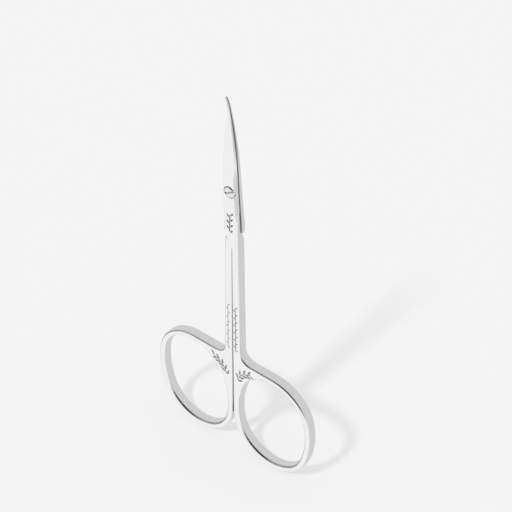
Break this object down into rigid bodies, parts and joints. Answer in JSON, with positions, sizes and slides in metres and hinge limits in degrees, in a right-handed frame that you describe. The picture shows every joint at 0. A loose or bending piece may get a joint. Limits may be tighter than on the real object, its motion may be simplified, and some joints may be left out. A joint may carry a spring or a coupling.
{
  "type": "cuticle scissors",
  "caption": "Slim polished steel cuticle scissors with oval finger rings, lapped joint on a slotted screw and fine forward-curved blades.",
  "frame": {"origin": "middle of the closed object's box at its bottom, where the finger rings stand", "axes": "+X across the rings towards the right handle, +Y through the thickness towards the back face, +Z along the length to the tips"},
  "size_m": [0.0418, 0.003, 0.0936],
  "materials": {
    "polished_steel": "satin polish",
    "screw_steel": "turned and polished"
  },
  "bodies": {
    "rear": {"rear_half": "polished_steel", "pivot_screw": "screw_steel"},
    "front": {"front_half": "polished_steel"}
  },
  "joints": [
    {"name": "pivot_hinge", "type": "hinge", "parent": "rear", "child": "front", "pos_m": [-0.00037, 0.00028, 0.07028], "axis": [0, -1, 0], "range_deg": [0, 60]}
  ]
}
